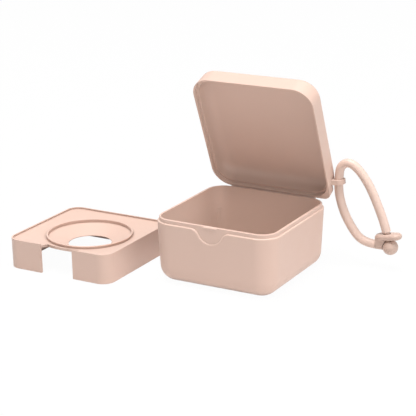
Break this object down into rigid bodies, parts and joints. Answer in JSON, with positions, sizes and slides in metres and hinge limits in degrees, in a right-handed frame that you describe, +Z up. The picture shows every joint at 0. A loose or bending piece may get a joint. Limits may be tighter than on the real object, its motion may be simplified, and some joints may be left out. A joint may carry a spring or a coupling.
{
  "type": "pacifier sterilizer case",
  "caption": "Square pacifier sterilizer case with a hinged lid, a loose dished insert and a buttoned carry strap on an eye at the lid's side.",
  "frame": {"origin": "centre of the base's flat bottom face", "axes": "+Z up, -Y to the front with the finger recess, hinge along X at the back, strap eye on the +X side; the lid stands open 67 degrees from shut and the insert stands to the left"},
  "size_m": [0.227, 0.115, 0.1228],
  "materials": {
    "case_plastic": "fine matt, blush pink",
    "insert_plastic": "fine matt, blush pink",
    "pin_plastic": "plain, blush pink",
    "strap_silicone": "soft satin silicone, blush pink"
  },
  "bodies": {
    "case": {"case_base": "case_plastic", "hinge_pin": "pin_plastic"},
    "lid": {"lid": "case_plastic"},
    "strap": {"strap": "strap_silicone", "strap_tab": "strap_silicone", "strap_ball": "strap_silicone"},
    "insert": {"insert": "insert_plastic"}
  },
  "joints": [
    {"name": "lid_hinge", "type": "hinge", "parent": "case", "child": "lid", "pos_m": [0, 0.0438, 0.0402], "axis": [-1, 0, 0], "range_deg": [-67.1, 43]},
    {"name": "strap_swing", "type": "hinge", "parent": "lid", "child": "strap", "pos_m": [0.04535, 0.04657, 0.05342], "axis": [0, 0, 1], "range_deg": [-50, 80]},
    {"name": "insert_lift", "type": "slide", "parent": "case", "child": "insert", "axis": [0, 0, 1], "range_m": [0, 0.06]}
  ]
}
